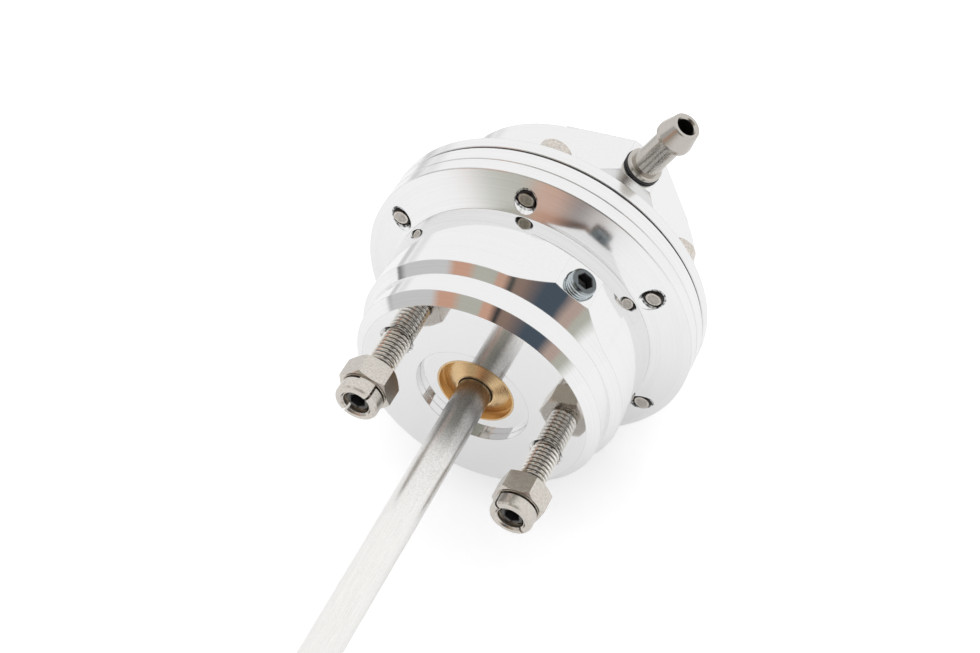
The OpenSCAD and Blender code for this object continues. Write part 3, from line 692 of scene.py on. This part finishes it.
def paper():
    """A pale sheet that is seen from above only."""
    mat, g = material("white paper")
    path = g.add("ShaderNodeLightPath").outputs
    share = g.maths("SUBTRACT", 1.0, g.product(path["Is Glossy Ray"], far_shade(g)))
    matt = g.add("ShaderNodeBsdfDiffuse", {"Color": g.scaled(PAPER_COLOUR, share)})
    glow = g.add("ShaderNodeEmission", {"Strength": g.product(path["Is Camera Ray"], PAPER_GLOW)})
    sheet = g.add("ShaderNodeAddShader", {0: matt.outputs[0], 1: glow.outputs[0]})
    clear = g.add("ShaderNodeBsdfTransparent")
    below = g.add("ShaderNodeNewGeometry").outputs["Backfacing"]
    seen = g.add("ShaderNodeMixShader", {0: below, 1: sheet.outputs[0], 2: clear.outputs[0]})
    g.add("ShaderNodeOutputMaterial", {0: seen.outputs[0]})
    mesh = bpy.data.meshes.new("paper")
    half = PAPER_SIZE / 2 * MM
    four = [(-half, -half, 0), (half, -half, 0), (half, half, 0), (-half, half, 0)]
    mesh.from_pydata(four, [], [(0, 1, 2, 3)])
    mesh.materials.append(mat)
    ob = bpy.data.objects.new("paper", mesh)
    down = -PAPER_UP * PAPER_DROP * MM
    ob.matrix_world = Matrix.LocRotScale(down, PAPER_UP.to_track_quat("Z", "Y"), None)
    bpy.context.scene.collection.objects.link(ob)
    return ob


floor = paper()


# Light. The bright faces see a white tent over the paper, open on one side to a room of cloths and boards.

TENT_RADIUS = 1500.0
METAL_SHARE = ALUMINIUM[0]
WHITE = (238, 238, 238)
GREY = (190, 190, 190)
TAN = (190, 150, 130)
KHAKI = (170, 170, 160)
ROSE = (170, 150, 140)
BROWN = (130, 110, 100)
EDGE = (120, 120, 120)
SLATE = (70, 80, 90)
DARK = (60, 60, 60)
CEILING = (140, 140, 130)
SEAM = (220, 220, 220)
# Each cloth or board hangs from one bearing to another, in degrees from across the paper towards the rod's
# end, and has one plain tone. The tones blend from each to the next, and the tent is white beyond them.
CLOTHS = (
    (16.5, 17, EDGE), (20, 40, GREY), (45, 53, TAN), (60, 74, KHAKI), (77, 82, TAN), (88, 89, DARK),
    (92, 97, BROWN), (111, 122, SLATE), (127, 130, ROSE), (132, 134, KHAKI),
)
ROOM = (
    (15.5, WHITE), *((bearing, tone) for *ends, tone in CLOTHS for bearing in ends), (138.5, WHITE),
)
# Heights over the paper and bearings, in degrees: where a patch starts, is full, begins to fade, and ends.
ROOM_HEIGHTS = (-9.0, -3.5, 42.0, 46.0)
CEILING_HEIGHTS = (40.0, 46.0, 60.0, 72.0)
CEILING_BEARINGS = (38.0, 58.0, 124.0, 142.0)
SEAM_HEIGHTS = (-12.0, -6.0, -5.0, 2.0)
ROOM_LIGHT = 1.06


def linear(colour):
    """An sRGB colour of 0 to 255 as linear light, over the share that the metal sends back."""
    return (*((c / 255) ** 2.2 / METAL_SHARE for c in colour), 1.0)


def tent():
    """A large sphere that only reflections see. Its colour is a ramp of the bearing over the paper, between
    two heights. Above that is a ceiling, low on the cap's side a pale seam, and elsewhere it is white."""
    mat, g = material("tent")
    at = g.add("ShaderNodeTexCoord").outputs["Object"]
    way = g.add("ShaderNodeVectorMath", {0: at}, operation="NORMALIZE").outputs[0]
    height = g.maths("DEGREES", g.maths("ARCSINE", g.along(way, PAPER_UP)))
    bearing = g.maths("DEGREES", g.maths("ARCTAN2", g.along(way, ROD_WAY), g.along(way, PAPER_ACROSS)))
    low, high = ROOM[0][0], ROOM[-1][0]
    stops = [((a - low) / (high - low), linear(tone)) for a, tone in ROOM]
    room = g.ramp(g.ramped(bearing, low, high, 0.0, 1.0), stops)

    ceiling = g.product(g.between(height, *CEILING_HEIGHTS), g.between(bearing, *CEILING_BEARINGS))
    seam = g.product(g.between(height, *SEAM_HEIGHTS), g.between(bearing, *CAP_SIDE))
    colour = g.mixed(g.between(height, *ROOM_HEIGHTS), (1.0, 1.0, 1.0, 1.0), room)
    colour = g.mixed(ceiling, colour, linear(CEILING))
    colour = g.mixed(seam, colour, linear(SEAM))
    glow = g.add("ShaderNodeEmission", {"Color": colour, "Strength": 1.0})
    g.add("ShaderNodeOutputMaterial", {0: glow.outputs[0]})
    bpy.ops.mesh.primitive_uv_sphere_add(segments=96, ring_count=48, radius=TENT_RADIUS * MM)
    ob = bpy.context.object
    ob.name = "tent"
    ob.data.materials.append(mat)
    ob.visible_camera = False
    ob.visible_diffuse = False
    ob.visible_transmission = False
    ob.visible_volume_scatter = False
    ob.visible_shadow = False
    return ob


tent()

world = bpy.data.worlds.new("bright room")
world.use_nodes = True
bpy.context.scene.world = world
g = Graph(world.node_tree)
light = g.add("ShaderNodeBackground", {"Color": (1.0, 1.0, 1.0, 1.0), "Strength": ROOM_LIGHT})
g.add("ShaderNodeOutputWorld", {0: light.outputs[0]})

bpy.context.scene.view_settings.view_transform = "Standard"
